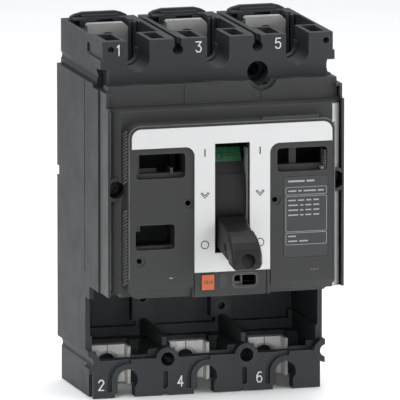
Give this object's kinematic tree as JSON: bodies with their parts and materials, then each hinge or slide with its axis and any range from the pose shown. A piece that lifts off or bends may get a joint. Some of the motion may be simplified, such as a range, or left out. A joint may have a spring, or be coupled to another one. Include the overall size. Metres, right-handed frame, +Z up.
{
  "type": "moulded-case circuit breaker frame",
  "caption": "Three-pole circuit breaker frame in a dark moulded case, with a white T faceplate, a down-turned toggle, open terminal bays and an empty lower bay.",
  "frame": {"origin": "centre of the back mounting face, between the poles and midway between the mounting holes", "axes": "+X right seen from the front, +Z up, the front with the toggle faces -Y"},
  "size_m": [0.105, 0.1131, 0.1591],
  "materials": {
    "case_grey": "moulded, fine grain",
    "cover_grey": "moulded, fine grain",
    "faceplate_white": "satin",
    "label_grey": "printed film",
    "handle_plastic": "moulded, satin",
    "button_orange": "moulded",
    "indicator_green": "printed",
    "tinned_terminal": "tin plated, satin",
    "copper": "satin",
    "silver_tip": "satin",
    "steel": "zinc plated",
    "dark_screw": "blackened",
    "cartridge_plastic": "moulded, glass filled",
    "rotor_plastic": "moulded, glass filled"
  },
  "bodies": {
    "case": {"base_case": "case_grey", "mid_case": "case_grey", "front_cover": "cover_grey", "faceplate": "faceplate_white", "rating_label": "label_grey", "cover_screws": "dark_screw", "post_inserts": "dark_screw", "insulating_flaps": "case_grey", "line_terminal_1": "tinned_terminal", "line_terminal_3": "tinned_terminal", "line_terminal_5": "tinned_terminal", "load_terminal_2": "tinned_terminal", "load_terminal_4": "tinned_terminal", "load_terminal_6": "tinned_terminal", "load_contact_bar_2": "copper", "load_contact_bar_4": "copper", "load_contact_bar_6": "copper", "fixed_contact_tips": "silver_tip", "cartridge_left_1": "cartridge_plastic", "cartridge_right_1": "cartridge_plastic", "cartridge_left_2": "cartridge_plastic", "cartridge_right_2": "cartridge_plastic", "cartridge_left_3": "cartridge_plastic", "cartridge_right_3": "cartridge_plastic", "arc_chute_upper_1": "steel", "arc_chute_upper_2": "steel", "arc_chute_upper_3": "steel", "arc_chute_lower_1": "steel", "arc_chute_lower_2": "steel", "arc_chute_lower_3": "steel", "mechanism_plate_left": "steel", "mechanism_plate_right": "steel", "mechanism_spacers": "steel", "yoke_pivot_pins": "steel", "cradle": "steel", "cradle_pin": "steel", "latch": "steel", "trip_button_spring": "steel"},
    "handle": {"toggle_handle": "handle_plastic", "handle_shroud": "handle_plastic", "off_indicator": "indicator_green", "toggle_yoke": "steel", "main_springs": "steel"},
    "contacts": {"rotor_1": "rotor_plastic", "rotor_2": "rotor_plastic", "rotor_3": "rotor_plastic", "moving_contact_1": "copper", "moving_contact_2": "copper", "moving_contact_3": "copper", "moving_contact_tips": "silver_tip", "rotor_rods": "steel"},
    "upper_link_pair": {"upper_links": "steel"},
    "drive_link_pair": {"drive_links": "steel", "knee_pins": "steel"},
    "trip_button_body": {"trip_button": "button_orange"},
    "trip_bar_body": {"trip_bar": "handle_plastic"}
  },
  "joints": [
    {"name": "handle_swing", "type": "hinge", "parent": "case", "child": "handle", "pos_m": [0, -0.047, 0.01305], "axis": [-1, 0, 0], "range_deg": [0, 40]},
    {"name": "contacts_turn", "type": "hinge", "parent": "case", "child": "contacts", "pos_m": [0, -0.023, 0.014], "axis": [-1, 0, 0], "range_deg": [0, 25]},
    {"name": "upper_links_turn", "type": "hinge", "parent": "case", "child": "upper_link_pair", "pos_m": [0, -0.056, 0.032], "axis": [-1, 0, 0], "range_deg": [-22.51, 0]},
    {"name": "drive_links_turn", "type": "hinge", "parent": "contacts", "child": "drive_link_pair", "pos_m": [0, -0.02078, 0.02011], "axis": [-1, 0, 0], "range_deg": [-15.19, 0]},
    {"name": "trip_button_push", "type": "slide", "parent": "case", "child": "trip_button_body", "axis": [0, 1, 0], "range_m": [0, 0.0025], "stiffness_N_per_m": 300, "springref_m": -0.003},
    {"name": "trip_bar_turn", "type": "hinge", "parent": "case", "child": "trip_bar_body", "pos_m": [0, -0.058, -0.008], "axis": [1, 0, 0], "range_deg": [0, 9.5]}
  ],
  "couplings": [
    {"joint": "contacts_turn", "follows": "handle_swing", "ratio": 0.625},
    {"joint": "upper_links_turn", "follows": "handle_swing", "ratio": -0.55017},
    {"joint": "drive_links_turn", "follows": "handle_swing", "ratio": -0.36725},
    {"joint": "trip_bar_turn", "follows": "trip_button_push", "rad_per_m": 64}
  ]
}
